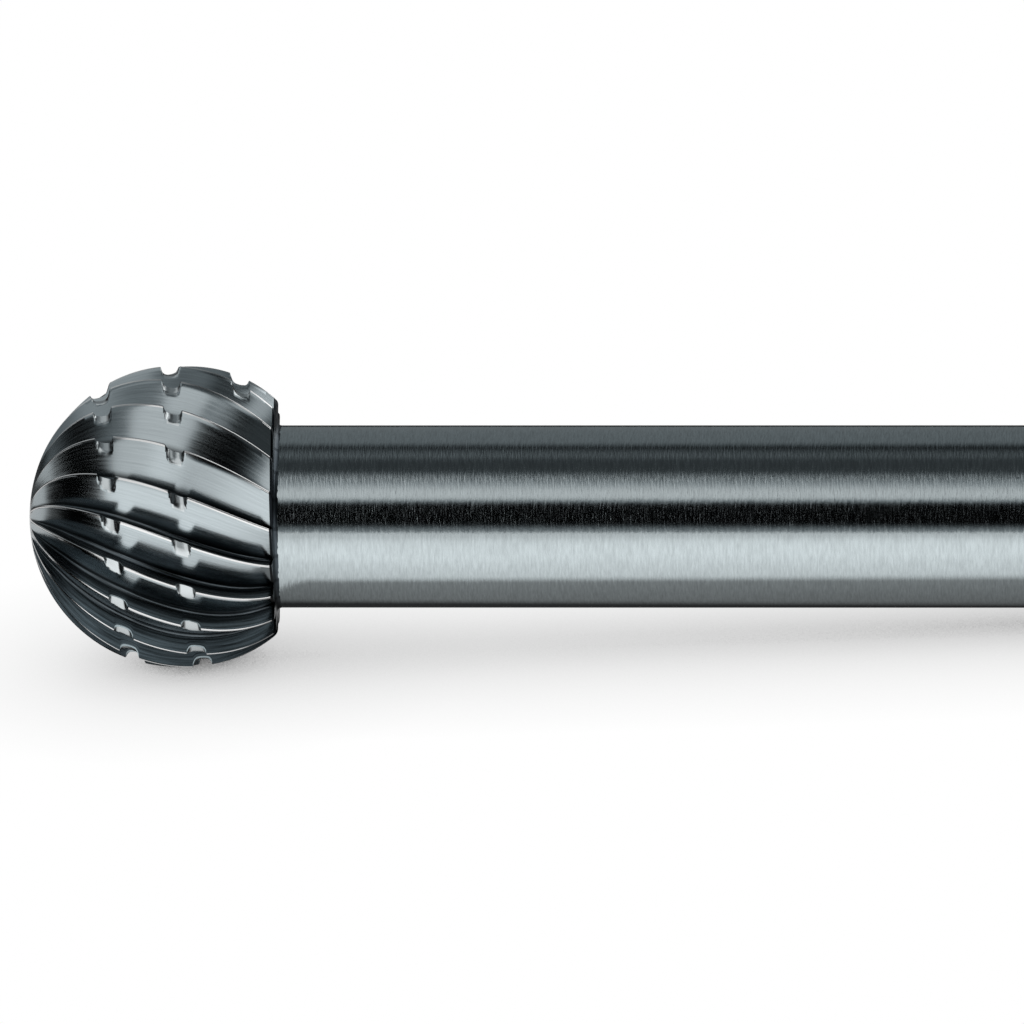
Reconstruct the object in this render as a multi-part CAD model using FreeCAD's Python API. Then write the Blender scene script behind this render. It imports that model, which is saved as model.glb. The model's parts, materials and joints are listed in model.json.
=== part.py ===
"""A rotary burr of high-speed steel, ground from one bar: a ball-shaped cutting head on a plain round shank.

The ball carries right-hand helical teeth. A shallow groove runs round it like a coarse screw thread and
notches every tooth, which breaks the chips. The burr lies on its side as it rests on a bench, on two
neighbouring teeth and the far end of the shank. Lengths are in millimetres, angles in degrees, and +Z is up.
"""
import FreeCAD, Part

import math
import os

# The turned blank, before any tooth is cut.
ball_diameter = 10.0
shank_diameter = 6.0
overall_length = 49.0
back_step = 0.88  # width of the flat ring behind the ball, from the shank out to the teeth
back_rim_chamfer = 0.1
neck_chamfer = 0.17
shank_end_chamfer = 0.5

# The teeth: each has a narrow land on the ball, a back that falls away, a gullet and a rake face.
tooth_count = 20
tooth_land = 0.07
flute_depth = 0.75  # at the ball's widest ring, from where it shrinks with the space between the teeth
gullet_floor = 0.13
rake_angle = 7.0
helix_angle = 19.5  # at the widest ring
helix_growth = 0.0063  # share that the turn gains with each degree from that ring towards the shank
smooth_cap = 9.0  # angle from the tip at which the flutes start
full_flute = 36.0  # angle from the tip at which they reach their full share of depth
run_out_lift = 0.03  # how far the cutter has left the ball at the smooth cap
flute_overrun = 9.0  # angle by which the cutter runs past the flat ring
flute_stations = 8

# The chip-breaker groove: a single-start thread, which leaves a U-shaped notch in each tooth it crosses.
groove_pitch = 2.33
groove_width = 0.65
groove_floor = 0.5
groove_depth = 0.3
groove_corner = 0.15
groove_slope_share = 0.5  # how far the groove's floor follows the ball's slope
groove_from_tip = 2.22
groove_from_back = 1.07
groove_start_turn = 153.0  # about the axis, from straight down
notch_ahead = 0.35  # each notch is cut from ahead of the tooth's edge to where its back has fallen away
notch_behind = 1.0

ball_radius = ball_diameter / 2
shank_radius = shank_diameter / 2
rim_radius = shank_radius + back_step
back_x = math.sqrt(ball_radius**2 - rim_radius**2)
rim_polar = math.atan2(rim_radius, -back_x)
shank_end_x = overall_length - ball_radius
tooth_turn = 2 * math.pi / tooth_count

# The burr lies with its axis tilted down towards the shank's end.
rest_height = ball_radius * math.cos(tooth_turn / 2 * math.cos(math.radians(helix_angle)))
rest_reach = shank_end_x - shank_end_chamfer
tilt = math.asin(rest_height / math.hypot(rest_reach, shank_radius)) - math.atan2(shank_radius, rest_reach)


def vec(x, y, z):
    return FreeCAD.Vector(x, y, z)


def ball_normal(polar, turn):
    """Unit vector out of the ball: polar from the tip, turn about the axis from straight down."""
    side = math.sin(polar)
    return vec(-math.cos(polar), side * math.sin(turn), -side * math.cos(turn))


def edge_turn(polar):
    """Turn of one tooth's cutting edge, so that two edges straddle the point where the ball rests."""

    def twist(angle):
        along = angle - math.pi / 2
        growth = helix_growth * math.degrees(along) / 2
        return along * (1 + growth) * math.tan(math.radians(helix_angle))

    land_turn = tooth_land / ball_radius
    return twist(polar) - twist(math.pi / 2 + tilt) - (tooth_turn + land_turn) / 2


def ring_edge(solid, radius):
    """The round edge nearest to that radius on the flat ring behind the ball."""
    rings = [e for e in solid.Edges if not e.Degenerated and isinstance(e.Curve, Part.Circle)]
    return min(rings, key=lambda e: abs(e.Curve.Center.x - back_x) + abs(e.Curve.Radius - radius))


def blank():
    """Ball, flat ring and chamfered shank turned about the X axis, then chamfered at the rim and at the neck."""
    top = ball_normal(rim_polar / 2, math.pi) * ball_radius
    tip = vec(-ball_radius, 0, 0)
    corners = [
        vec(back_x, 0, rim_radius),
        vec(back_x, 0, shank_radius),
        vec(shank_end_x - shank_end_chamfer, 0, shank_radius),
        vec(shank_end_x, 0, shank_radius - shank_end_chamfer),
        vec(shank_end_x, 0, 0),
        tip,
    ]
    outline = [Part.Arc(tip, top, corners[0]).toShape()]
    outline += [Part.makeLine(a, b) for a, b in zip(corners, corners[1:])]
    turned = Part.Face(Part.Wire(outline)).revolve(vec(0, 0, 0), vec(1, 0, 0), 360)
    rimmed = turned.makeChamfer(back_rim_chamfer, [ring_edge(turned, rim_radius)])
    return rimmed.makeChamfer(neck_chamfer, [ring_edge(rimmed, shank_radius)])


def depth_share(polar):
    """Grows smoothly to 1 where the flutes are full, from just enough for a section at the smooth cap."""
    least = 0.05
    along = (math.degrees(polar) - smooth_cap) / (full_flute - smooth_cap)
    along = min(1.0, max(least, along))
    return along * (2 - along)


def flute_section(polar):
    """Closed wire across one flute: tooth back, gullet and rake face, closed outside the ball."""
    land_turn = tooth_land / (ball_radius * math.sin(polar))
    start = ball_normal(polar, edge_turn(polar) + land_turn) * ball_radius
    end = ball_normal(polar, edge_turn(polar) + tooth_turn) * ball_radius
    middle = ball_normal(polar, edge_turn(polar) + (land_turn + tooth_turn) / 2)
    width = (end - start).Length
    across = (end - start) * (1 / width)
    inward = (across * across.dot(middle) - middle).normalize()

    share = depth_share(polar)
    scale = width / (ball_radius * tooth_turn - tooth_land)
    sag = ball_radius - math.sqrt(ball_radius**2 - width**2 / 4)
    depth = flute_depth * scale * share - sag
    lift = run_out_lift * (1 - share) ** 2
    lean = math.tan(tooth_turn / 2 - math.radians(rake_angle))
    fall = depth / (width - gullet_floor * scale * share - depth * lean)
    out = width / 4  # how far the cutter stands out of the ball, so that it cuts cleanly

    def at(x, y):
        return start + across * x + inward * (y - lift)

    back_top = at(-out, -out * fall)
    corners = [
        back_top,
        at(depth / fall, depth),
        at(width - depth * lean, depth),
        at(width + out * lean, -out),
        at(-out, -out),
        back_top,
    ]
    return Part.makePolygon(corners)


def flute_cutter():
    """One flute as a solid lofted along its helix, with its sections closer together near the tip."""
    crowding = 1.25
    first = math.radians(smooth_cap)
    span = rim_polar + math.radians(flute_overrun) - first
    steps = [(i / (flute_stations - 1)) ** crowding for i in range(flute_stations)]
    return Part.makeLoft([flute_section(first + span * step) for step in steps], True)


def notch_cutter(x, turn, lead):
    """One notch of the groove: a U with its walls square to the axis, drawn straight along the thread."""
    polar = math.acos(-x / ball_radius)
    radius = ball_radius * math.sin(polar)
    out = vec(0, math.sin(turn), -math.cos(turn))
    along = vec(lead, radius * math.cos(turn), radius * math.sin(turn)).normalize()
    length = notch_ahead + notch_behind
    middle = vec(x, 0, 0) + out * (radius - groove_depth) - along * notch_ahead
    slope = groove_slope_share * (math.pi / 2 - polar)
    half_floor = (vec(math.cos(slope), 0, 0) + out * math.sin(slope)) * (groove_floor / 2)
    height = 2 * groove_depth
    flare = vec((groove_width - groove_floor) * height / groove_depth / 2, 0, 0)
    low = [middle - half_floor, middle + half_floor]
    high = [low[1] + out * height + flare, low[0] + out * height - flare]
    cutter = Part.Face(Part.makePolygon(low + high + low[:1])).extrude(along * length)
    bottom = [e for e in cutter.Edges if abs(e.Length - length) < 1e-6 and starts_at(e, low)]
    return cutter.makeFillet(groove_corner, bottom)


def starts_at(edge, points):
    """True if the edge has an end at one of the points."""
    return any((v.Point - point).Length < 1e-6 for v in edge.Vertexes for point in points)


def notch_cutters():
    """A cutter for each crossing of the groove's thread with a tooth's edge."""
    first_x = groove_from_tip - ball_radius
    last_x = back_x - groove_from_back
    lead = groove_pitch / (2 * math.pi)
    first_turn = math.radians(groove_start_turn)
    last_turn = first_turn + (last_x - first_x) / lead
    cutters = []
    for tooth in range(math.floor(first_turn / tooth_turn) - 1, math.ceil(last_turn / tooth_turn) + 2):
        turn = tooth * tooth_turn
        for _ in range(6):
            x = min(last_x, max(first_x, first_x + (turn - first_turn) * lead))
            turn = tooth * tooth_turn + edge_turn(math.acos(-x / ball_radius))
        if first_turn <= turn <= last_turn:
            cutters.append(notch_cutter(x, turn, lead))
    return cutters


def burr():
    solid = blank()
    cutter = flute_cutter()
    for tooth in range(tooth_count):
        turned = cutter.copy()
        turned.rotate(vec(0, 0, 0), vec(1, 0, 0), math.degrees(tooth * tooth_turn))
        solid = solid.cut(turned)
    return solid.cut(notch_cutters()).Solids[0]


def lay_down(solid):
    """Tilt the axis down to the shank's end, and put the lowest, middle point at the origin."""
    solid.rotate(vec(0, 0, 0), vec(0, 1, 0), math.degrees(tilt))
    box = solid.optimalBoundingBox(False)
    solid.translate(vec(-box.Center.x, -box.Center.y, -box.ZMin))
    return solid


os.makedirs("parts", exist_ok=True)
lay_down(burr()).exportStep("parts/burr.step")
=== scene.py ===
"""The looks of a rotary burr of high-speed steel: a ball with ground teeth on a plain ground shank.

Every length is in metres. The burr's own axis runs from the tip of the ball towards the end of the shank,
with the ball's middle at zero. A turn about it is counted from straight down.
"""

import json
import math

import bpy
import numpy as np
from bpy.props import FloatProperty, IntProperty, PointerProperty, StringProperty
from mathutils import Matrix


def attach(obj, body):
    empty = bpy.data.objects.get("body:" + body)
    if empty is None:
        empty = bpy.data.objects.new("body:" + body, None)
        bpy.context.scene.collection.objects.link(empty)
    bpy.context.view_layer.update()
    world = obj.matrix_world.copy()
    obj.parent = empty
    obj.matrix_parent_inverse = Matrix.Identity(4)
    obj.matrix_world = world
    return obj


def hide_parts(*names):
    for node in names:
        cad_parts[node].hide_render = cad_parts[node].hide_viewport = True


bl_info = {
    "name": "Rotary Burr",
    "version": (1, 0, 0),
    "blender": (4, 5, 0),
    "location": "3D View > Sidebar > Burr",
    "description": "Builds a ball-shaped rotary burr with ground helical teeth",
    "category": "Add Mesh",
}

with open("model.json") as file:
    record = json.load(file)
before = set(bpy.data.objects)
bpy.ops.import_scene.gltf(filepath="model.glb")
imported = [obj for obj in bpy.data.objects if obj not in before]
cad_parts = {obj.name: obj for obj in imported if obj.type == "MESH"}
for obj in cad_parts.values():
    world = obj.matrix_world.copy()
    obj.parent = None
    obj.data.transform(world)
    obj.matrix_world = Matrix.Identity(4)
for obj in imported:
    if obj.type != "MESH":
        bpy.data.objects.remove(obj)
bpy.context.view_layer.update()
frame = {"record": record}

MM = 0.001
NODE = "burr"
shank_mount = next(m for m in frame["record"]["mounts"] if m["name"] == "shank")


# Sizes and colours that a user would change.


def length(name, description, default_mm):
    """A length, given here in millimetres and kept in metres."""
    size = default_mm * MM
    return FloatProperty(name=name, description=description, default=size, unit="LENGTH", precision=5)


def angle(name, description, degrees):
    """An angle, given here in degrees and kept in radians."""
    turn = math.radians(degrees)
    return FloatProperty(name=name, description=description, default=turn, unit="ROTATION")


def share(name, description, default):
    """A plain number."""
    return FloatProperty(name=name, description=description, default=default, precision=4)


def tint(name, description, default):
    """A colour, as sRGB hex."""
    return StringProperty(name=name, description=description, default=default)


class BurrBlank(bpy.types.PropertyGroup):
    """The turned blank, and where it lies."""

    ball: length("Ball", "Diameter of the cutting head", 10.0)
    shank: length("Shank", "Diameter of the shank", 2 * shank_mount["dims"]["r_mm"])
    overall: length("Overall", "Length from the tip to the shank's end", 49.0)
    back_step: length("Back step", "Width of the flat ring behind the ball", 0.88)
    rim_round: length("Rim round", "Width of the teeth's rounding at the flat ring", 0.125)
    # The dark band is painted shade at the back of the teeth.
    rim_band: length("Rim band", "Width of the dark band there", 0.06)
    neck: length("Neck", "Fillet between the flat ring and the shank", 0.17)
    end_chamfer: length("End chamfer", "Chamfer at the shank's end", 0.5)
    end_break: length("Broken edge", "Rounding of the two edges of that chamfer", 0.06)


class BurrTeeth(bpy.types.PropertyGroup):
    """The teeth, ground into the ball along helical flutes."""

    count: IntProperty(name="Teeth", description="Number of teeth", default=20)
    land: length("Land", "Width of the round land behind each cutting edge", 0.07)
    depth: length("Flute depth", "Depth of a flute at the ball's widest ring", 0.75)
    gullet: length("Gullet radius", "Radius at the bottom of a flute", 0.13)
    rake: angle("Rake", "Rake angle of the cutting face", 7.0)
    helix: angle("Helix", "Helix angle at the ball's widest ring", 19.5)
    helix_growth: share("Helix growth", "What the turn gains with each degree towards the shank", 0.0063)
    smooth_cap: angle("Smooth cap", "Angle from the tip at which the flutes start", 9.0)
    full_flute: angle("Full flute", "Angle from the tip at which they are full", 36.0)
    edge_drop: length("Edge drop", "How far the honed land falls away to either side", 0.015)
    lift: length("Run-out lift", "How far the cutter has left the ball at the smooth cap", 0.03)


class BurrGroove(bpy.types.PropertyGroup):
    """The chip-breaker groove, a thread round the ball that notches every tooth."""

    pitch: length("Pitch", "Distance between the groove's turns", 2.33)
    width: length("Width", "Width of a notch at the ball's surface", 0.65)
    floor: length("Floor", "Width of its floor", 0.5)
    depth: length("Depth", "Depth below the ball's surface", 0.3)
    corner: length("Corner", "Softness of the floor's corners", 0.06)
    slope: share("Slope", "How far the floor follows the ball's slope", 0.5)
    from_tip: length("From tip", "Where the groove starts", 2.22)
    from_back: length("From back", "Where it ends", 1.07)
    start: angle("Start", "Turn at which it starts", 153.0)


class BurrFinish(bpy.types.PropertyGroup):
    """Colours of the steel as each surface was finished, with painted shade and painted highlights in
    some.
    """

    shank: tint("Shank", "Ground shank", "#d4dfe2")
    back: tint("Tooth backs", "Ground tooth backs", "#cdd8dc")
    # The gullets' dark colour is painted shade in the flutes.
    gullet: tint("Gullets", "Gullets and rake faces", "#7c868c")
    # The lands' near white colour is a painted highlight along the cutting edges.
    land: tint("Lands", "Polished lands", "#fafbfb")
    notch: tint("Notches", "Floors and walls of the notches", "#dfe6e8")
    # The ring's and neck's dim grey is painted shade behind the ball.
    ring: tint("Ring", "Turned ring and neck", "#5d666d")
    # The rim's near black colour is painted shade at the back of the teeth.
    rim: tint("Rim", "Rounding at the ring's outer edge, left dark from hardening", "#24292d")


class BurrStage(bpy.types.PropertyGroup):
    """Camera, floor and light."""

    elevation: angle("Elevation", "How far the camera looks down on the burr's axis", 19.1)
    from_behind: angle("From behind", "How far the camera stands behind the ball", 2.2)
    aim_along: length("Aim along", "Picture's middle, from the ball's middle to the right", 10.88)
    aim_up: length("Aim up", "Picture's middle, from the ball's middle upwards", 0.148)
    width: length("Width", "What the picture takes in at the burr", 33.71)
    distance: length("Distance", "Camera to burr", 700)
    floor_half: length("Floor", "Half the floor's width", 300)
    floor_colour: tint("Floor colour", "Pale table top", "#f4f5f5")


GROUPS = {
    "burr_blank": BurrBlank,
    "burr_teeth": BurrTeeth,
    "burr_groove": BurrGroove,
    "burr_finish": BurrFinish,
    "burr_stage": BurrStage,
}


# The burr's own frame.


def axis_frame():
    """The axis, the level way across it to the camera, the way up from both, and the ball's middle.

    The record's shank mount gives the axis, and the middle of the shank's round wall, which runs from the
    neck to the end chamfer.
    """
    blank = bpy.context.scene.burr_blank
    axis = np.array(shank_mount["axis"], float)
    axis /= np.linalg.norm(axis)
    near = np.array([0.0, -1.0, 0.0])
    up = np.cross(near, axis)
    wall = (back_x() + blank.neck + blank.overall - blank.ball / 2 - blank.end_chamfer) / 2
    return axis, near, up, np.array(shank_mount["pos_m"], float) - wall * axis


def dip():
    """The angle at which the axis falls towards the shank's end."""
    axis, *_ = axis_frame()
    return math.asin(-axis[2])


def rim_radius():
    """Radius of the flat ring behind the ball."""
    blank = bpy.context.scene.burr_blank
    return blank.shank / 2 + blank.back_step


def back_x():
    """How far the flat ring lies behind the ball's middle."""
    ball = bpy.context.scene.burr_blank.ball / 2
    return math.sqrt(ball**2 - rim_radius() ** 2)


def laid_down(points):
    """Points of the upright burr, x along its axis, moved to where it lies."""
    axis, near, up, middle = axis_frame()
    return middle + points @ np.stack([axis, -near, up])


def ball_normal(polar, turn):
    """Unit vectors out of the ball at an angle from the tip and a turn.

    They are minus the cosine of polar, then its sine times the sine and minus the cosine of the turn.
    """
    side = np.sin(polar)
    return np.stack([-np.cos(polar), side * np.sin(turn), -side * np.cos(turn)], axis=-1)


# Meshes.

SHARP_EDGE = math.radians(32)


def skin(name, rings, poles, flow_rows, flow_columns, kinds=None):
    """A closed skin of rings about the axis, all with the same number of points, and a fan at each pole.

    Rings follow each other towards the shank and points along the turn, so that quads wound ring point,
    next point, next ring's next point, next ring's point face outwards. The flow map holds the two given
    lengths in millimetres.
    """
    rows, columns = rings.shape[:2]
    here = np.arange(rows * columns).reshape(rows, columns)
    ahead = np.roll(here, -1, axis=1)
    tip, end = rows * columns, rows * columns + 1
    quads = np.stack([here[:-1], ahead[:-1], ahead[1:], here[1:]], axis=-1).reshape(-1, 4)
    first = np.stack([np.full(columns, tip), ahead[0], here[0]], axis=-1)
    last = np.stack([np.full(columns, end), here[-1], ahead[-1]], axis=-1)

    low, high = flow_columns[:-1], flow_columns[1:]
    across = np.broadcast_to(np.stack([low, high, high, low], axis=-1), (rows - 1, columns, 4))
    near, far = flow_rows[:-1], flow_rows[1:]
    along = np.broadcast_to(np.stack([near, near, far, far], axis=-1)[:, None], (rows - 1, columns, 4))
    fan = np.stack([(low + high) / 2, high, low], axis=-1)
    fan_last = np.stack([(low + high) / 2, low, high], axis=-1)
    across = np.concatenate([fan.ravel(), across.ravel(), fan_last.ravel()])
    at_poles = np.repeat([[flow_rows[0]], [flow_rows[-1]]], 3 * columns, axis=1)
    along = np.concatenate([at_poles[0], along.ravel(), at_poles[1]])

    mesh = bpy.data.meshes.new(name)
    points = np.concatenate([rings.reshape(-1, 3), np.asarray(poles)])
    corners = np.concatenate([first.ravel(), quads.ravel(), last.ravel()])
    starts = np.concatenate([[0], np.cumsum([3] * columns + [4] * len(quads) + [3] * columns)[:-1]])
    mesh.vertices.add(len(points))
    mesh.vertices.foreach_set("co", laid_down(points).astype(np.float32).ravel())
    mesh.loops.add(len(corners))
    mesh.loops.foreach_set("vertex_index", corners.astype(np.int32))
    mesh.polygons.add(len(starts))
    mesh.polygons.foreach_set("loop_start", starts.astype(np.int32))
    if kinds is not None:
        ends = [np.full(columns, kinds[0, 0]), kinds.ravel(), np.full(columns, kinds[-1, 0])]
        mesh.polygons.foreach_set("material_index", np.concatenate(ends).astype(np.int32))
    mesh.update(calc_edges=True)
    flow = mesh.uv_layers.new(name="flow")
    flow.data.foreach_set("uv", np.stack([along, across], axis=-1).astype(np.float32).ravel())
    mesh.polygons.foreach_set("use_smooth", np.ones(len(starts), bool))
    mesh.set_sharp_from_angle(angle=SHARP_EDGE)
    if mesh.validate():
        raise RuntimeError(f"{name} has faces that are not valid")
    return mesh


def place(name, mesh, materials):
    """Links the finished piece to the scene, in place of the solid burr."""
    piece = bpy.data.objects.new(name, mesh)
    bpy.context.scene.collection.objects.link(piece)
    for material in materials:
        mesh.materials.append(material)
    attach(piece, "root")
    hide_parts(NODE)


# The teeth.

# Kinds of surface, in the order of the head's materials.
LAND, BACK, GULLET, NOTCH, RING, RIM = range(6)

# Points across one tooth: its land, its back, the gullet's arc and the next tooth's rake face. Those of
# the back lie at these shares of the way down it: the first strip is honed with the land, and the middle
# ones are close together where the notches end.
BACK_WAY = (0.025, 0.14, 0.26, 0.36, 0.43, 0.5, 0.72, 1.0)
LAND_POINTS, BACK_POINTS, ARC_POINTS, RAKE_POINTS = 5, len(BACK_WAY), 6, 4
FLUTE_POINTS = BACK_POINTS + ARC_POINTS + RAKE_POINTS
TOOTH_POINTS = LAND_POINTS + FLUTE_POINTS

# Rings of the ball: those on the smooth cap, in degrees from the tip, the number that follows at even
# angles, and those before the flat ring, as shares of the rim's rounding. The first of these is where the
# even ones end.
CAP_RINGS = (1.5, 3.0, 4.5, 6.0, 7.5)
EVEN_RINGS = 175
RIM_RINGS = (1.2, 0.9, 0.65, 0.42, 0.22, 0.08, 0.0)
RIM_DROP = 0.8  # how deep the rim's rounding is, as a share of its width

# Where land, back and arc end, as shares of the turn between two edges, and as shares of the same space in
# the flow map, which is this many millimetres wide there.
LAND_TURN, BACK_TURN, ARC_TURN = 0.05, 0.8, 0.95
LAND_FLOW, BACK_FLOW, ARC_FLOW = 0.045, 0.65, 0.77
FLOW_OF_TOOTH = 2.15

LEAST_GROWTH = 0.05  # leaves the flutes a little depth at the smooth cap, where it would be none
WIDEST_GULLET = 0.45  # how much of a shallow flute's depth its gullet's radius may take
SOLVER_STEPS = 8

# The groove crosses a tooth on up to this many of its turns, and is looked for on this share of the ball.
LAPS = 3
GROOVE_ON_BALL = 0.9
# Rings are drawn together at the notches' walls. Those at these shares of a reach move to the groove's
# middle, half a crowd inside the wall, half a crowd outside it, and the reach's end. The reach is a share
# of the groove's width, and past the groove's ends all of this fades out over a length.
CROWD_REACH = 1.15
CROWD_WAY = (0.0, 0.27, 0.62, 1.0)
CROWD_HALF = 0.06 * MM
CROWD_FADE = 0.4 * MM
GULLET_KEPT = 3  # the last points of the gullet's arc, which the notches don't move
RAKE_LEFT = 0.02  # least share of a rake face's height that a notch leaves

# Rings of the flat ring, as shares of its width, and of the neck's fillet, in degrees. Inside the shank a
# last ring closes the head, this far on and in.
FLAT_RINGS = (0.04, 0.2, 0.45, 0.72, 1.0)
NECK_RINGS = (10, 22, 35, 50, 65, 80, 90)
HIDDEN_ON, HIDDEN_IN = 0.02 * MM, 0.1 * MM


def edge_turn(polar):
    """Turn of the first tooth's cutting edge.

    It is the tangent of the helix angle times the way from the widest ring. The way grows a little faster
    towards the shank, and two edges straddle the point on which the ball rests.
    """
    teeth, blank = bpy.context.scene.burr_teeth, bpy.context.scene.burr_blank

    def twist(a):
        along = a - math.pi / 2
        return along * (1 + teeth.helix_growth * np.degrees(along) / 2) * math.tan(teeth.helix)

    half = (2 * math.pi / teeth.count + teeth.land / (blank.ball / 2)) / 2
    return twist(polar) - twist(math.pi / 2 + dip()) - half


def flute_profile(width, depth, gullet):
    """Points of a flute across its width, one for each column along the last axis.

    x runs across the flute and y into the ball. The back is a straight line from the land that touches
    the gullet's circle, the gullet is an arc of that circle, and the rake face is the line from the arc
    up to the next edge.
    """
    teeth = bpy.context.scene.burr_teeth
    lean = math.pi / teeth.count - teeth.rake
    middle_x = width - (depth - gullet) * math.tan(lean) - gullet / math.cos(lean)
    middle_y = depth - gullet
    reach = np.hypot(middle_x, middle_y)
    fall = np.arctan2(middle_y, middle_x) + np.arcsin(gullet / reach)
    touch = np.sqrt(reach**2 - gullet**2)

    column = np.arange(1, FLUTE_POINTS + 1)
    back = np.pad(BACK_WAY, (0, FLUTE_POINTS - BACK_POINTS), mode="edge") * touch
    bend = np.clip((column - BACK_POINTS) / ARC_POINTS, 0, 1)
    rise = (column - BACK_POINTS - ARC_POINTS) / (RAKE_POINTS + 1)
    around = fall + math.pi / 2 + (lean - fall - math.pi / 2) * bend
    arc_x, arc_y = middle_x + gullet * np.cos(around), middle_y + gullet * np.sin(around)
    on_back, on_rake = column <= BACK_POINTS, rise > 0
    x = np.where(on_back, back * np.cos(fall), np.where(on_rake, arc_x + (width - arc_x) * rise, arc_x))
    y = np.where(on_back, back * np.sin(fall), np.where(on_rake, arc_y * (1 - rise), arc_y))
    return x, y


def tooth_points(polar):
    """Points of the first tooth and the flute behind it, one for each polar angle.

    polar's last axis holds the columns across the tooth. The land lies on the ball, less a parabola
    across it. A flute point is the flute's start plus x across and y inwards, and is held back to the
    ball where the cutter has left it. Nearer to the tip than the smooth cap, a point keeps its turn and
    lies on the ball.
    """
    teeth, ball = bpy.context.scene.burr_teeth, bpy.context.scene.burr_blank.ball / 2
    pitch = 2 * math.pi / teeth.count
    cut = np.maximum(polar, teeth.smooth_cap)
    land_turn = teeth.land / (ball * np.sin(cut))
    edge = edge_turn(cut)
    start, end = ball * ball_normal(cut, edge + land_turn), ball * ball_normal(cut, edge + pitch)
    middle = ball_normal(cut, edge + (land_turn + pitch) / 2)
    width = np.linalg.norm(end - start, axis=-1)
    across = (end - start) / width[..., None]
    inward = across * np.sum(across * middle, axis=-1, keepdims=True) - middle
    inward /= np.linalg.norm(inward, axis=-1, keepdims=True)

    along = np.clip((cut - teeth.smooth_cap) / (teeth.full_flute - teeth.smooth_cap), LEAST_GROWTH, 1)
    grown = along * (2 - along)
    scale = width / (ball * pitch - teeth.land)
    sag = ball - np.sqrt(ball**2 - width**2 / 4)
    depth = teeth.depth * scale * grown - sag
    gullet = np.minimum(teeth.gullet * scale * grown, WIDEST_GULLET * depth)
    flute = slice(LAND_POINTS, None)
    x, y = flute_profile(width[..., flute], depth[..., flute], gullet[..., flute])
    y -= (teeth.lift * (1 - grown) ** 2)[..., flute]
    on_flute = start[..., flute, :] + across[..., flute, :] * x[..., None]
    on_flute += inward[..., flute, :] * y[..., None]
    on_flute *= np.minimum(1, ball / np.linalg.norm(on_flute, axis=-1, keepdims=True))

    land = slice(0, LAND_POINTS)
    from_edge = np.arange(LAND_POINTS) / (LAND_POINTS - 1)
    crowned = ball - teeth.edge_drop * grown[..., land] * (2 * from_edge - 1) ** 2
    behind = ball_normal(cut[..., land], edge[..., land] + land_turn[..., land] * from_edge)
    points = np.concatenate([crowned[..., None] * behind, on_flute], axis=-2)
    turn = np.arctan2(points[..., 1], -points[..., 2])
    return np.where((polar < teeth.smooth_cap)[..., None], ball * ball_normal(polar, turn), points)


def groove_crossings():
    """Where the groove's thread crosses each tooth's edge: its place, its turn, and whether it is cut.

    The place along the axis is the groove's start plus its lead for each turn, solved together with the
    turn of the helical edge. Crossings are numbered on from one turn of the thread to the next, so that
    the first tooth's own are the tooth count apart.
    """
    groove, teeth = bpy.context.scene.burr_groove, bpy.context.scene.burr_teeth
    ball = bpy.context.scene.burr_blank.ball / 2
    first, last = groove.from_tip - ball, back_x() - groove.from_back
    lead = groove.pitch / (2 * math.pi)
    furthest = GROOVE_ON_BALL * ball
    teeth_turns = np.arange(LAPS * teeth.count + 1) * 2 * math.pi / teeth.count
    turn = teeth_turns
    for _ in range(SOLVER_STEPS):
        x = np.clip(first + (turn - groove.start) * lead, -furthest, furthest)
        turn = teeth_turns + edge_turn(np.arccos(-x / ball))
    return x, turn, (turn >= groove.start) & (turn <= groove.start + (last - first) / lead)


def crowded(x, crossing):
    """Rings drawn together at the notches' walls, by an odd function of the way from the groove's middle.

    crossing is the number of each column's crossing, with its share of the way to the next one.
    """
    groove = bpy.context.scene.burr_groove
    reach = CROWD_REACH * groove.width
    wall = (groove.width + groove.floor) / 4
    way = np.array(CROWD_WAY) * reach
    to = np.array([0, wall - CROWD_HALF, wall + CROWD_HALF, reach])
    middle, _, cut = groove_crossings()
    ends = middle[cut].min(), middle[cut].max()
    moved = x.copy()
    for lap in range(LAPS):
        number = crossing + lap * bpy.context.scene.burr_teeth.count
        groove_x = np.interp(number, np.arange(len(middle)), middle)
        outside = np.maximum(ends[0] - groove_x, groove_x - ends[1])
        strength = np.clip(1 - outside / CROWD_FADE, 0, 1)
        gap = x - groove_x
        step = np.interp(np.abs(gap), way, to) - np.abs(gap)
        moved += strength * np.sign(gap) * step * (np.abs(gap) < reach)
    return moved


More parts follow.
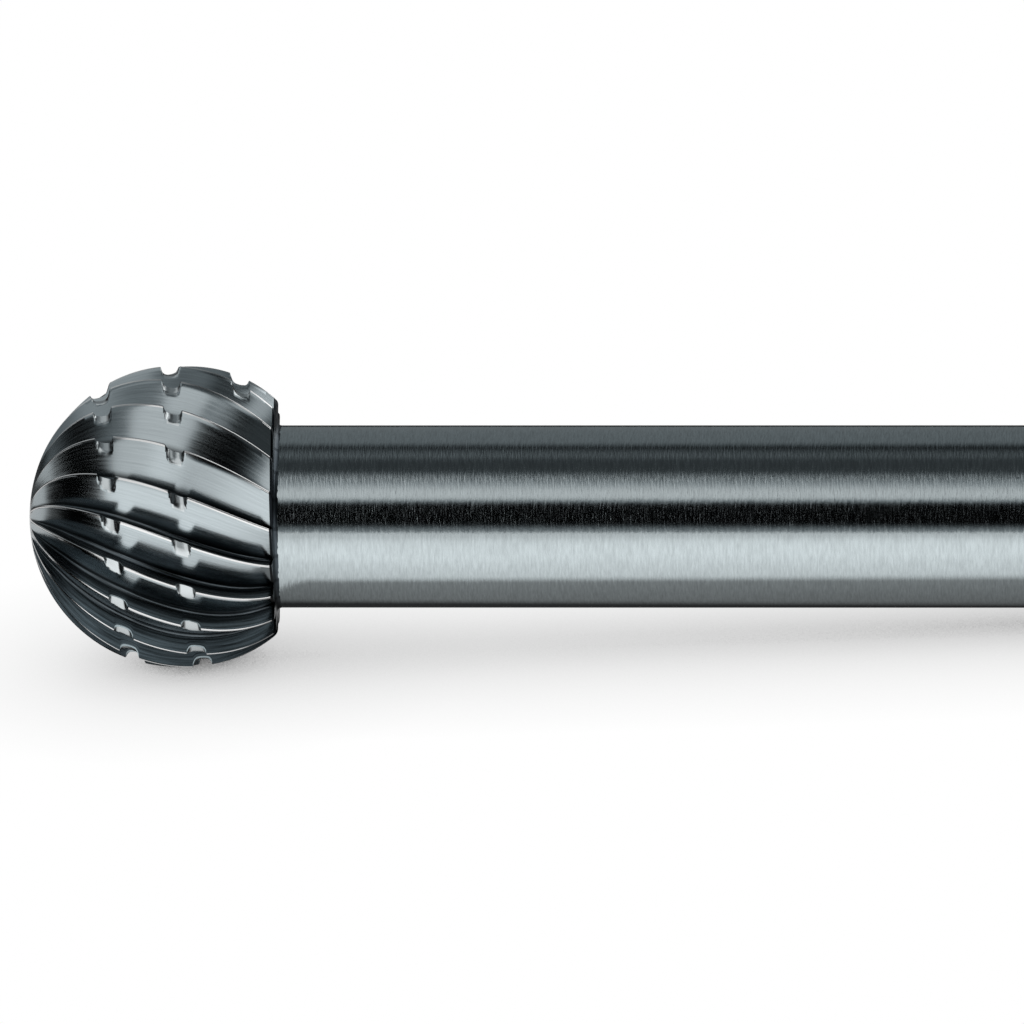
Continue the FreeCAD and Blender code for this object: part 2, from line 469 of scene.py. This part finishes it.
def notch(points):
    """Lowers the teeth to the notches' floors and walls, and says which points were lowered.

    Seen along the thread, a notch is a level floor whose walls rise at a steady slope, the two blended by
    a hyperbola. Points above it move inwards to it, and those that would stand over the leaning rake face
    move back to it. Those of a rake face are drawn together below the floor, along the face.
    """
    groove, teeth = bpy.context.scene.burr_groove, bpy.context.scene.burr_teeth
    ball = bpy.context.scene.burr_blank.ball / 2
    middle, turns, cut = groove_crossings()
    lead = groove.pitch / (2 * math.pi)
    steep = 2 * groove.depth / (groove.width - groove.floor)
    rake = math.tan(teeth.rake)
    foot_column = TOOTH_POINTS - RAKE_POINTS - 1
    columns = np.arange(TOOTH_POINTS)
    ahead = columns > foot_column
    on_tooth = columns <= foot_column - GULLET_KEPT
    lowered = np.zeros(points.shape[:-1], bool)
    for lap in range(LAPS):
        number = np.arange(teeth.count)[:, None] + ahead + lap * teeth.count
        x, turn, is_cut = middle[number], turns[number], cut[number]
        radius = np.sqrt(ball**2 - x**2)
        out = np.stack([turn * 0, np.sin(turn), -np.cos(turn)], axis=-1)
        side = np.stack([turn * 0, np.cos(turn), np.sin(turn)], axis=-1)
        height, way = np.sum(points * out, axis=-1), np.sum(points * side, axis=-1)
        off = points[..., 0] - x - way * lead / radius
        slope = np.tan(groove.slope * np.arcsin(-x / ball))
        over = np.abs(off) - groove.floor / 2
        wall = steep * (over + np.sqrt(over**2 + groove.corner**2)) / 2
        floor = radius - groove.depth + slope * off + wall
        top = np.sqrt(ball**2 - points[..., 0] ** 2)
        close = is_cut & (np.abs(off) < groove.width)

        foot = np.sum(points[..., foot_column : foot_column + 1, :] * out, axis=-1)
        drawn = foot + (height - foot) * np.clip((floor - foot) / (top - foot), RAKE_LEFT, 1)
        to = np.where(ahead, np.where(top > floor, drawn, height), floor)
        hit = close & ((on_tooth & (height > to)) | (ahead & (top > floor)))
        drop = np.where(hit, height - to, 0)
        to_back = np.maximum(0, way[..., :1] + (top - floor) * rake - way) * hit
        shift = np.where(ahead, drop * rake, to_back)
        points = points - out * drop[..., None] + side * shift[..., None]
        lowered |= hit & (drop > 0) & ~ahead
    return points, lowered


def across_tooth(land, back, arc):
    """Where the points between two edges lie, from 0 to 1, if land, back and arc end at these places."""
    return np.concatenate(
        [
            np.linspace(0, land, LAND_POINTS),
            land + (back - land) * np.array(BACK_WAY),
            back + (arc - back) * np.arange(1, ARC_POINTS + 1) / ARC_POINTS,
            arc + (1 - arc) * np.arange(1, RAKE_POINTS + 1) / (RAKE_POINTS + 1),
        ]
    )


def head_rings():
    """Rings of the toothed ball, their kinds of surface, and the lengths of the flow map along and across.

    Each ring lies in a plane across the axis. Its polar angles follow from its place along the axis by
    Newton's method, because a flute's point lies nearer to the ball's middle than its edge does. At the
    rim no point is further out than the ball less a quarter ellipse.
    """
    blank, teeth = bpy.context.scene.burr_blank, bpy.context.scene.burr_teeth
    ball = blank.ball / 2
    rim = back_x()
    before_rim = rim - np.array(RIM_RINGS) * blank.rim_round
    even = np.linspace(teeth.smooth_cap, math.acos(-before_rim[0] / ball), EVEN_RINGS)
    rows = np.concatenate([-ball * np.cos(np.radians(CAP_RINGS)), -ball * np.cos(even), before_rim[1:]])

    tooth = np.arange(teeth.count)[:, None]
    x = np.broadcast_to(rows[:, None, None], (len(rows), teeth.count, TOOTH_POINTS))
    x = crowded(x, tooth + across_tooth(LAND_TURN, BACK_TURN, ARC_TURN))
    polar = np.arccos(np.clip(-x / ball, -1, 1))
    for _ in range(SOLVER_STEPS):
        polar += (x - tooth_points(polar)[..., 0]) / (ball * np.sin(polar))
    first = tooth_points(polar)
    turn = tooth * 2 * math.pi / teeth.count
    y = first[..., 1] * np.cos(turn) - first[..., 2] * np.sin(turn)
    z = first[..., 1] * np.sin(turn) + first[..., 2] * np.cos(turn)
    points, lowered = notch(np.stack([x, y, z], axis=-1))

    past = np.clip((x - rim + blank.rim_round) / blank.rim_round, 0, 1)
    allowed = np.sqrt(ball**2 - x**2) - RIM_DROP * blank.rim_round * (1 - np.sqrt(1 - past**2))
    radius = np.hypot(points[..., 1], points[..., 2])
    points[..., 1:] *= np.minimum(1, allowed / radius)[..., None]

    columns = teeth.count * TOOTH_POINTS
    points, lowered = points.reshape(len(rows), columns, 3), lowered.reshape(len(rows), columns)
    of_column = np.repeat([LAND, BACK, GULLET], [LAND_POINTS, BACK_POINTS, ARC_POINTS + RAKE_POINTS])
    kinds = np.tile(of_column, (len(rows) - 1, teeth.count))
    beside = np.roll(lowered, -1, axis=1).astype(int) + lowered
    kinds[(beside[:-1] + beside[1:]) >= 2] = NOTCH
    kinds[rows[1:] > rim - blank.rim_band] = RIM
    across = tooth + across_tooth(LAND_FLOW, BACK_FLOW, ARC_FLOW)
    across = np.append(across.ravel(), teeth.count) * FLOW_OF_TOOTH
    along = np.arccos(-rows / ball) * ball / MM
    return points, kinds, along, across


def ring_and_neck(last):
    """Rings inwards over the flat ring from the teeth's last one, then a quarter circle onto the shank."""
    blank = bpy.context.scene.burr_blank
    rim, inner = back_x(), blank.shank / 2 + blank.neck
    radius = np.hypot(last[:, 1], last[:, 2])
    turned = last[:, 1:] / radius[:, None]
    flat = radius + (inner - radius) * np.array(FLAT_RINGS)[:, None]
    sweep = np.radians(NECK_RINGS)
    neck_x = rim + blank.neck * (1 - np.cos(sweep))
    neck_radius = inner - blank.neck * np.sin(sweep)
    x = np.concatenate([np.full(len(flat), rim), neck_x, neck_x[-1:] + HIDDEN_ON])
    neck_radius = np.append(neck_radius, neck_radius[-1] - HIDDEN_IN)
    out = np.concatenate([flat, neck_radius[:, None] + 0 * radius])
    x = np.broadcast_to(x[:, None, None], out.shape + (1,))
    return np.concatenate([x, out[..., None] * turned], axis=-1)


def toothed_head():
    """The ball with its teeth and notches, the flat ring and the neck, as one closed skin."""
    points, kinds, along, across = head_rings()
    behind = ring_and_neck(points[-1])
    rings = np.concatenate([points, behind])
    kinds = np.concatenate([kinds, np.full((len(behind), kinds.shape[1]), RING)])
    middle_radius = np.hypot(behind[..., 1], behind[..., 2]).mean(axis=1) / MM
    along = np.concatenate([along, along[-1] + middle_radius[0] - middle_radius + behind[:, 0, 0] / MM])
    ball = bpy.context.scene.burr_blank.ball / 2
    poles = [(-ball, 0, 0), (behind[-1, 0, 0], 0, 0)]
    return skin("toothed_head", rings, poles, along, across, kinds)


# The shank.

SHANK_SIDES = 256
SHANK_RINGS = 24
CORNER_RINGS = 5
FACE_RINGS = (0.7, 0.35, 0.08)  # on the end face, as shares of its radius
SHANK_OVERLAP = 0.3  # where the shank starts in the head's neck, as a share of the neck's fillet


def round_corner(before, corner, after, radius):
    """An outline's corner, rounded by a parabola between the points at that radius on either side."""
    before, corner, after = (np.asarray(p, float) for p in (before, corner, after))
    start = corner + (before - corner) / np.linalg.norm(before - corner) * radius
    end = corner + (after - corner) / np.linalg.norm(after - corner) * radius
    t = np.linspace(0, 1, CORNER_RINGS)[:, None]
    return (1 - t) ** 2 * start + 2 * t * (1 - t) * corner + t**2 * end


def ground_shank():
    """A bar with a chamfered end: its outline, x along it and its radius, turned about the axis."""
    blank = bpy.context.scene.burr_blank
    radius, end = blank.shank / 2, blank.overall - blank.ball / 2
    start = back_x() + SHANK_OVERLAP * blank.neck
    side, face = (end - blank.end_chamfer, radius), (end, radius - blank.end_chamfer)
    straight = np.linspace(start, side[0] - 2 * blank.end_break, SHANK_RINGS)
    straight = np.stack([straight, np.full(SHANK_RINGS, radius)], axis=-1)
    outline = np.concatenate(
        [
            straight,
            round_corner(straight[-1], side, face, blank.end_break),
            round_corner(side, face, (end, 0), blank.end_break),
            [(end, part * face[1]) for part in FACE_RINGS],
        ]
    )
    turn = np.arange(SHANK_SIDES) / SHANK_SIDES * 2 * math.pi
    x, out = outline[:, :1] + 0 * turn, outline[:, 1:] + 0 * turn
    rings = np.stack([x, out * np.sin(turn), -out * np.cos(turn)], axis=-1)
    steps = np.hypot(*np.diff(outline, axis=0).T)
    along = np.concatenate([[0], np.cumsum(steps)]) / MM
    across = np.linspace(0, 2 * math.pi * radius / MM, SHANK_SIDES + 1)
    return skin("ground_shank", rings, [(start, 0, 0), (end, 0, 0)], along, across)


# Materials. All of the burr is bare high-speed steel, and what differs is how each surface was finished.
# Real grinding lines are a few hundredths of a millimetre apart or less, and are drawn as coarse as they
# need to show.

ROUND_LINE = 0.4 * MM  # length of a grain of the lines round the axis
MILLED_LINE, MILLED_APART, MILLED_DEPTH = 0.8 * MM, 0.05 * MM, 0.0006 * MM
FLUTE_LINE_MM = 2.0  # length of a grain of the lines along a tooth
# The foot of each tooth's back gets painted shade, from this share of the way down.
FOOT_SHADE_START = 0.8  # share of the way down a tooth's back at which it starts to darken
# Notch walls get painted shade between these two.
SHADED_WALL_LEAST, SHADED_WALL_FULL = 0.45, 0.8  # how far a face must look along the axis to count as a notch's wall
LINE_LOW, LINE_HIGH = 0.3, 0.7  # the noise in a line, and between two
# What is added to a surface's roughness in a line, and between two.
ROUND_ROUGHNESS, FLUTE_ROUGHNESS = (-0.03, 0.05), (-0.04, 0.06)


def linear(hex_colour):
    """A colour from sRGB hex to linear light."""
    parts = np.array([int(hex_colour[i : i + 2], 16) for i in (1, 3, 5)]) / 255
    return (*np.where(parts <= 0.04045, parts / 12.92, ((parts + 0.055) / 1.055) ** 2.4), 1.0)


def cleared(owner):
    """The node tree of a new material or world, without its nodes."""
    owner.use_nodes = True
    owner.node_tree.nodes.clear()
    return owner.node_tree


def add(tree, kind, inputs=None, output=0, **settings):
    """Adds a node with its settings and links, and returns one of its outputs.

    Each input is a value or another node's output.
    """
    node = tree.nodes.new(kind)
    for name, value in settings.items():
        setattr(node, name, value)
    for name, value in (inputs or {}).items():
        if isinstance(value, bpy.types.NodeSocket):
            tree.links.new(value, node.inputs[name])
        else:
            node.inputs[name].default_value = value
    return node.outputs[output] if node.outputs else None


def steel(name, hex_colour, roughness):
    """A plain metal: its material, its node tree, and its shader's sockets for patterns to link to."""
    material = bpy.data.materials.new(name)
    tree = cleared(material)
    plain = {"Base Color": linear(hex_colour), "Metallic": 1.0, "Roughness": roughness}
    shader = add(tree, "ShaderNodeBsdfPrincipled", plain)
    add(tree, "ShaderNodeOutputMaterial", {"Surface": shader})
    return material, tree, shader.node.inputs


def along_axis(tree):
    """Object coordinates turned so that x follows the burr's axis."""
    place_of = add(tree, "ShaderNodeTexCoord", output="Object")
    return add(tree, "ShaderNodeMapping", {"Vector": place_of, "Rotation": (0, -dip(), 0)})


def line_noise(tree, coordinates, *sizes):
    """Fractal noise from 0 to 1 whose grains have these sizes along the three coordinates."""
    scale = tuple(1 / size for size in sizes)
    stretched = add(tree, "ShaderNodeMapping", {"Vector": coordinates, "Scale": scale})
    grain = {"Vector": stretched, "Scale": 1.0, "Detail": 4.0, "Roughness": 0.6}
    return add(tree, "ShaderNodeTexNoise", grain)


def shade(tree, sockets, *shares):
    """Multiplies the shader's colour by each of the shares."""
    colour = tuple(sockets["Base Color"].default_value[:3])
    for part in shares:
        colour = add(tree, "ShaderNodeVectorMath", {0: colour, "Scale": part}, operation="SCALE")
    tree.links.new(colour, sockets["Base Color"])


def grind(tree, sockets, lines, depth_mm, darkest, roughness, *shares):
    """Lays grinding lines on a steel: cut in, and darker and smoother than what is between them."""
    ends = {"Value": lines, "From Min": LINE_LOW, "From Max": LINE_HIGH}
    bright = add(tree, "ShaderNodeMapRange", {**ends, "To Min": darkest, "To Max": 1.0})
    shade(tree, sockets, bright, *shares)
    rough = add(tree, "ShaderNodeMapRange", {**ends, "To Min": roughness[0], "To Max": roughness[1]})
    tree.links.new(rough, sockets["Roughness"])
    relief = add(tree, "ShaderNodeBump", {"Height": lines, "Distance": depth_mm * MM})
    tree.links.new(relief, sockets["Normal"])


def ground_round(name, hex_colour, roughness, line_mm, depth_mm, darkest):
    """High-speed steel ground between centres: fine lines run round the axis, so lamps smear along it.

    line_mm is how far the lines are apart, and darkest is their share of the colour.
    """
    material, tree, sockets = steel(name, hex_colour, roughness)
    lines = line_noise(tree, along_axis(tree), line_mm * MM, ROUND_LINE, ROUND_LINE)
    grind(tree, sockets, lines, depth_mm, darkest, [roughness + part for part in ROUND_ROUGHNESS])
    return material


def ground_along(name, hex_colour, roughness, line_mm, depth_mm, darkest, foot=None):
    """High-speed steel ground by a wheel that follows the flute: fine lines run along each tooth.

    With a foot, the steel turns darker towards the gullet as painted shade, down to that share of its
    colour.
    """
    material, tree, sockets = steel(name, hex_colour, roughness)
    flow = add(tree, "ShaderNodeUVMap", uv_map="flow")
    lines = line_noise(tree, flow, FLUTE_LINE_MM, line_mm, 1.0)
    darker = []
    # Painted shade at the foot of the back, towards the gullet.
    if foot is not None:
        across = add(tree, "ShaderNodeSeparateXYZ", {0: flow}, "Y")
        teeth = add(tree, "ShaderNodeMath", {0: across, 1: FLOW_OF_TOOTH}, operation="DIVIDE")
        way = add(tree, "ShaderNodeMath", {0: teeth}, operation="FRACT")
        ends = {"Value": way, "From Min": FOOT_SHADE_START * BACK_FLOW, "From Max": BACK_FLOW}
        fall = {**ends, "To Min": 1.0, "To Max": foot}
        darker.append(add(tree, "ShaderNodeMapRange", fall, interpolation_type="SMOOTHSTEP"))
    rough = [roughness + part for part in FLUTE_ROUGHNESS]
    grind(tree, sockets, lines, depth_mm, darkest, rough, *darker)
    return material


def milled(name, hex_colour, roughness, wall):
    """High-speed steel milled across the teeth: bright floors, and walls darkened with painted shade, as
    in a slot.
    """
    material, tree, sockets = steel(name, hex_colour, roughness)
    lines = line_noise(tree, along_axis(tree), MILLED_APART, MILLED_LINE, MILLED_LINE)
    relief = add(tree, "ShaderNodeBump", {"Height": lines, "Distance": MILLED_DEPTH})
    tree.links.new(relief, sockets["Normal"])
    # Painted shade on the walls: faces that look along the axis are darkened.
    normal = add(tree, "ShaderNodeTexCoord", output="Normal")
    axis, *_ = axis_frame()
    pair = {0: normal, 1: tuple(axis)}
    along = add(tree, "ShaderNodeVectorMath", pair, "Value", operation="DOT_PRODUCT")
    steep = add(tree, "ShaderNodeMath", {0: along}, operation="ABSOLUTE")
    ends = {"Value": steep, "From Min": SHADED_WALL_LEAST, "From Max": SHADED_WALL_FULL, "To Min": 1.0, "To Max": wall}
    shade(tree, sockets, add(tree, "ShaderNodeMapRange", ends))
    return material


def head_materials():
    """One for each kind of surface, in the order of LAND, BACK, GULLET, NOTCH, RING and RIM.

    A ground one has its roughness, how far its lines are apart and how deep they are in millimetres, the
    darkest line's share of the colour and the share of painted shade at the foot. The milled one has its
    roughness and the share of its colour that painted shade leaves on its walls.
    """
    finish = bpy.context.scene.burr_finish
    return [
        # Honed to a gloss: a thin bright thread along every cutting edge, its near white a painted
        # highlight.
        ground_along("polished_land", finish.land, 0.16, 0.04, 0.0002, 0.95),
        # Finely ground: streaked reflections of the lamps, with painted shade at the foot.
        ground_along("ground_tooth_back", finish.back, 0.18, 0.07, 0.0014, 0.8, 0.12),
        # Ground by the wheel's corner: dull, with dark streaks; the dark colour and deep streaks are
        # painted shade.
        ground_along("ground_gullet", finish.gullet, 0.26, 0.09, 0.0040, 0.1),
        # Freshly cut across the teeth: small bright steps, with painted shade on their walls.
        milled("milled_notch", finish.notch, 0.22, 0.12),
        # Turned before hardening: a face darkened to dim grey as painted shade.
        ground_round("turned_ring", finish.ring, 0.3, 0.05, 0.0008, 0.6),
        # Painted shade: a near black line round the back of the teeth.
        ground_round("hardened_rim", finish.rim, 0.35, 0.05, 0.0008, 0.6),
    ]


def shank_material():
    """Finely ground bar: clear bands of light and dark along it, frayed by the lines across them."""
    finish = bpy.context.scene.burr_finish
    return ground_round("ground_shank", finish.shank, 0.11, 0.06, 0.0050, 0.74)


# The stage.

# The light as seen from the burr. Azimuths run from the camera's side, positive towards the shank's end,
# and elevations from the level, both in degrees. A soft box or wall has its left, right, low and high
# bounds, how soft its sides, lower and upper edges are, and its level. What none of them covers is the
# dark of the room.
LIGHTS = (
    ("soft box high in front", -13, 9, 39, 61, 6, 10, 26, 0.66),
    ("soft box to the left", -66, -13, 38, 71, 6, 5, 14, 0.70),
    ("wall far to the left", -112, -62, 24, 66, 8, 10, 10, 0.2),
    ("side wall", -60, -14, -5, 38, 5, 5, 5, 0.66),
    ("lit edge of the side wall", -36, -14, -5, 22, 8, 5, 12, 0.25),
    ("far end of the paper", -14, 60, -5, 5, 4, 1, 10, 0.24),
    ("ceiling", -180, 180, 67, 91, 1, 14, 1, 0.05),
    ("ceiling at the left", -168, -96, 56, 80, 14, 8, 8, 0.14),
    ("ceiling at the right", 14, 158, 56, 71, 10, 10, 8, 0.50),
    ("back wall, left", -180, -98, 2, 58, 6, 4, 14, 0.19),
    ("window behind, left", -158, -128, 6, 50, 6, 6, 6, 0.25),
    ("back wall, right", 120, 180, 6, 56, 10, 8, 14, 0.13),
    ("window behind, right", 98, 158, 3, 54, 8, 6, 6, 1.0),
    ("right of the bench", 30, 120, 0, 60, 20, 5, 10, 0.05),
)
HALF_ROUND = 180  # a bound that far to a side is none
# Bright light is white, and dim light a little cooler.
COOL = "#e4f0f6"
WHITE = (1.0, 1.0, 1.0, 1.0)
DIM, BRIGHT = 0.05, 0.6

# What the steel sees of the table: a plain grey top with a sheet of white paper on it in front of the
# burr, and another one behind it. Lengths are measured ahead of the burr's axis, or behind it where they
# are negative. Azimuths are those of the lights. A soft edge is given by half its width.
TABLE_LEVEL = 0.36
# The sheet in front: its edge, its left bound, how much nearer it comes beside the ball, which reaches
# this far past the ball's middle, and how much darker it is far out.
SHEET_EDGE, SHEET_SOFT = 3.8 * MM, 0.8 * MM
SHEET_LEFT, LEFT_SOFT = math.radians(-60), 0.06
SHEET_NEARER, BALL_SIDE = 2.4 * MM, 3 * MM
FAR_OUT, FAR_SOFT, FAR_DARKER = 28 * MM, 18 * MM, 0.28
# The sheet behind: its level, and its two edges.
BEHIND_LEVEL = 0.5
BEHIND_NEAR, BEHIND_FAR, BEHIND_SOFT = -3 * MM, -18 * MM, 2 * MM
# The plain top is dark in a gap to the left of the ball, and has painted shade from the burr's axis
# backwards.
GAP_LEFT = math.radians(-94)
SHADED_FROM, SHADED_SOFT, SHADED_DARKER = 0.6 * MM, 0.7 * MM, 0.85
# How far the burr's soft shadow reaches, and the powers that weaken it in the steel and for the camera.
SHADOW_REACH = 7 * MM
SHADOW_IN_STEEL, SHADOW_SEEN = 0.6, 0.3


def past(tree, value, bound, soft):
    """1 where the value is past the bound, or short of it if soft is negative, with a soft edge there."""
    ends = {"Value": value, "From Min": bound - soft, "From Max": bound + soft}
    return add(tree, "ShaderNodeMapRange", ends, interpolation_type="SMOOTHSTEP")


def product(tree, first, *others):
    """The product of these, which is 1 where all of them are 1."""
    for other in others:
        first = add(tree, "ShaderNodeMath", {0: first, 1: other}, operation="MULTIPLY")
    return first


def dimmed(tree, share_off, where):
    """1, less this share where the other value is 1."""
    return add(tree, "ShaderNodeMath", {0: where, 1: -share_off, 2: 1.0}, operation="MULTIPLY_ADD")


def sky():
    """The world: soft boxes and walls in a dim room, and plain white where the camera sees past the floor.

    A direction's azimuth is the angle of its parts along the axis and towards the camera, and its
    elevation is the arcsine of its part upwards. The light is the sum of the lamps' levels, each inside
    its soft bounds.
    """
    world = bpy.data.worlds.new("soft_studio")
    bpy.context.scene.world = world
    tree = cleared(world)
    direction = add(tree, "ShaderNodeTexCoord", output="Generated")
    parts = []
    for way in axis_frame()[:3]:
        pair = {0: direction, 1: tuple(way)}
        parts.append(add(tree, "ShaderNodeVectorMath", pair, "Value", operation="DOT_PRODUCT"))
    azimuth = add(tree, "ShaderNodeMath", {0: parts[0], 1: parts[1]}, operation="ARCTAN2")
    elevation = add(tree, "ShaderNodeMath", {0: parts[2]}, operation="ARCSINE")

    light = 0.0
    for _, left, right, low, high, soft_side, soft_low, soft_high, level in LIGHTS:
        bounds = [(elevation, low, soft_low), (elevation, high, -soft_high)]
        if left > -HALF_ROUND:
            bounds.append((azimuth, left, soft_side))
        if right < HALF_ROUND:
            bounds.append((azimuth, right, -soft_side))
        edges = [past(tree, v, math.radians(bound), math.radians(soft / 2)) for v, bound, soft in bounds]
        lamp = {0: product(tree, *edges), 1: level, 2: light}
        light = add(tree, "ShaderNodeMath", lamp, operation="MULTIPLY_ADD")

    strong = add(tree, "ShaderNodeMapRange", {"Value": light, "From Min": DIM, "From Max": BRIGHT})
    colour = add(tree, "ShaderNodeMix", {0: strong, 6: linear(COOL), 7: WHITE}, 2, data_type="RGBA")
    lit = add(tree, "ShaderNodeBackground", {"Color": colour, "Strength": light})
    white = add(tree, "ShaderNodeBackground", {"Color": WHITE, "Strength": 1.0})
    seen = add(tree, "ShaderNodeLightPath", output="Is Camera Ray")
    mixed = add(tree, "ShaderNodeMixShader", {0: seen, 1: lit, 2: white})
    add(tree, "ShaderNodeOutputWorld", {"Surface": mixed})


def table_in_steel(tree):
    """How light the table is in the steel's reflections, without the burr's soft shadow.

    It is the greater of the sheet in front and the rest. The rest is the plain top, less the gap and the
    painted shade behind the axis, plus the sheet behind.
    """
    *_, middle = axis_frame()
    place_of = add(tree, "ShaderNodeTexCoord", output="Object")
    x = add(tree, "ShaderNodeSeparateXYZ", {0: place_of}, "X")
    y = add(tree, "ShaderNodeSeparateXYZ", {0: place_of}, "Y")
    ahead = add(tree, "ShaderNodeMath", {0: y, 1: -1.0}, operation="MULTIPLY")
    from_ball = add(tree, "ShaderNodeMath", {0: x, 1: middle[0]}, operation="SUBTRACT")
    azimuth = add(tree, "ShaderNodeMath", {0: from_ball, 1: ahead}, operation="ARCTAN2")

    beside_ball = past(tree, x, middle[0] + BALL_SIDE, -SHEET_SOFT)
    nearer = {0: beside_ball, 1: SHEET_NEARER, 2: ahead}
    from_edge = add(tree, "ShaderNodeMath", nearer, operation="MULTIPLY_ADD")
    sheet = product(
        tree,
        past(tree, azimuth, SHEET_LEFT, LEFT_SOFT),
        past(tree, from_edge, SHEET_EDGE, SHEET_SOFT),
        dimmed(tree, FAR_DARKER, past(tree, ahead, FAR_OUT, FAR_SOFT)),
    )
    near_edge = past(tree, ahead, BEHIND_NEAR, -SHEET_SOFT)
    behind = product(tree, near_edge, past(tree, ahead, BEHIND_FAR, BEHIND_SOFT))
    gap_left = past(tree, azimuth, GAP_LEFT, LEFT_SOFT)
    gap = product(tree, gap_left, past(tree, azimuth, SHEET_LEFT, -LEFT_SOFT))
    plain = product(
        tree,
        TABLE_LEVEL,
        dimmed(tree, 1.0, gap),
        dimmed(tree, SHADED_DARKER, past(tree, ahead, SHADED_FROM, -SHADED_SOFT)),
    )
    rest = add(tree, "ShaderNodeMath", {0: behind, 1: BEHIND_LEVEL, 2: plain}, operation="MULTIPLY_ADD")
    return add(tree, "ShaderNodeMath", {0: rest, 1: sheet}, operation="MAXIMUM")


def floor_material():
    """A pale matt table top, which the camera sees white, less what shade the burr keeps from it."""
    material = bpy.data.materials.new("pale_table_top")
    tree = cleared(material)
    colour = linear(bpy.context.scene.burr_stage.floor_colour)
    matt = add(tree, "ShaderNodeBsdfDiffuse", {"Color": colour})
    shadow = add(tree, "ShaderNodeAmbientOcclusion", {"Distance": SHADOW_REACH}, "AO", samples=8)
    in_steel = add(tree, "ShaderNodeLightPath", output="Is Glossy Ray")
    by_camera = add(tree, "ShaderNodeLightPath", output="Is Camera Ray")

    soft = add(tree, "ShaderNodeMath", {0: shadow, 1: SHADOW_IN_STEEL}, operation="POWER")
    reflected = product(tree, soft, table_in_steel(tree))
    seen = add(tree, "ShaderNodeMath", {0: shadow, 1: SHADOW_SEEN}, operation="POWER")
    level = add(tree, "ShaderNodeMix", {0: in_steel, 2: seen, 3: reflected}, data_type="FLOAT")
    glow = add(tree, "ShaderNodeEmission", {"Color": WHITE, "Strength": level})
    glows = add(tree, "ShaderNodeMath", {0: by_camera, 1: in_steel}, operation="MAXIMUM")
    mixed = add(tree, "ShaderNodeMixShader", {0: glows, 1: matt, 2: glow})
    add(tree, "ShaderNodeOutputMaterial", {"Surface": mixed})
    return material


def floor():
    """A flat square table top, with its middle under the burr."""
    half = bpy.context.scene.burr_stage.floor_half
    corners = [(-half, -half, 0), (half, -half, 0), (half, half, 0), (-half, half, 0)]
    mesh = bpy.data.meshes.new("table_top")
    mesh.from_pydata(corners, [], [(0, 1, 2, 3)])
    mesh.materials.append(floor_material())
    table = bpy.data.objects.new("table_top", mesh)
    bpy.context.scene.collection.objects.link(table)


def camera():
    """A long lens at the photograph's angle: it looks down on the axis, from a little behind the ball."""
    stage = bpy.context.scene.burr_stage
    axis, near, up, middle = axis_frame()
    level = math.cos(stage.elevation) * near + math.sin(stage.elevation) * up
    back = math.sin(stage.from_behind) * axis + math.cos(stage.from_behind) * level
    right = axis - np.dot(axis, back) * back
    right /= np.linalg.norm(right)
    top = np.cross(back, right)
    aim = middle + stage.aim_along * right + stage.aim_up * top
    data = bpy.data.cameras.new("camera")
    data.sensor_width = 36.0
    data.lens = data.sensor_width * stage.distance / stage.width
    data.clip_start, data.clip_end = 0.01, 10.0
    seat = bpy.data.objects.new("camera", data)
    matrix = np.eye(4)
    matrix[:3] = np.stack([right, top, back, aim + stage.distance * back], axis=1)
    seat.matrix_world = Matrix(matrix.tolist())
    bpy.context.scene.collection.objects.link(seat)
    bpy.context.scene.camera = seat


# Operators and panel.


class MakeHead(bpy.types.Operator):
    """Builds the ball with its teeth, notches, flat ring and neck."""

    bl_idname = "burr.make_head"
    bl_label = "Toothed head"

    def execute(self, context):
        place("toothed_head", toothed_head(), head_materials())
        return {"FINISHED"}


class MakeShank(bpy.types.Operator):
    """Builds the plain ground shank."""

    bl_idname = "burr.make_shank"
    bl_label = "Ground shank"

    def execute(self, context):
        place("ground_shank", ground_shank(), [shank_material()])
        return {"FINISHED"}


class MakeStage(bpy.types.Operator):
    """Sets out the table top, the soft light and the camera."""

    bl_idname = "burr.make_stage"
    bl_label = "Stage"

    def execute(self, context):
        context.scene.view_settings.view_transform = "Standard"
        floor()
        sky()
        camera()
        return {"FINISHED"}


OPERATORS = (MakeHead, MakeShank, MakeStage)


class BurrPanel(bpy.types.Panel):
    """Lists the burr's sizes, colours and steps."""

    bl_idname = "VIEW3D_PT_burr"
    bl_label = "Rotary burr"
    bl_space_type = "VIEW_3D"
    bl_region_type = "UI"
    bl_category = "Burr"

    def draw(self, context):
        for name, group in GROUPS.items():
            box = self.layout.box()
            box.label(text=group.__doc__.split(",")[0].split(".")[0])
            for key in group.__annotations__:
                box.prop(getattr(context.scene, name), key)
        for operator in OPERATORS:
            self.layout.operator(operator.bl_idname)


def register():
    for group in (*GROUPS.values(), *OPERATORS, BurrPanel):
        bpy.utils.register_class(group)
    for name, group in GROUPS.items():
        setattr(bpy.types.Scene, name, PointerProperty(type=group))


def unregister():
    for name in GROUPS:
        delattr(bpy.types.Scene, name)
    for group in reversed((*GROUPS.values(), *OPERATORS, BurrPanel)):
        bpy.utils.unregister_class(group)


def main():
    """Sets the stage and builds the burr."""
    register()
    bpy.ops.burr.make_stage()
    bpy.ops.burr.make_head()
    bpy.ops.burr.make_shank()


if __name__ == "__main__":
    main()
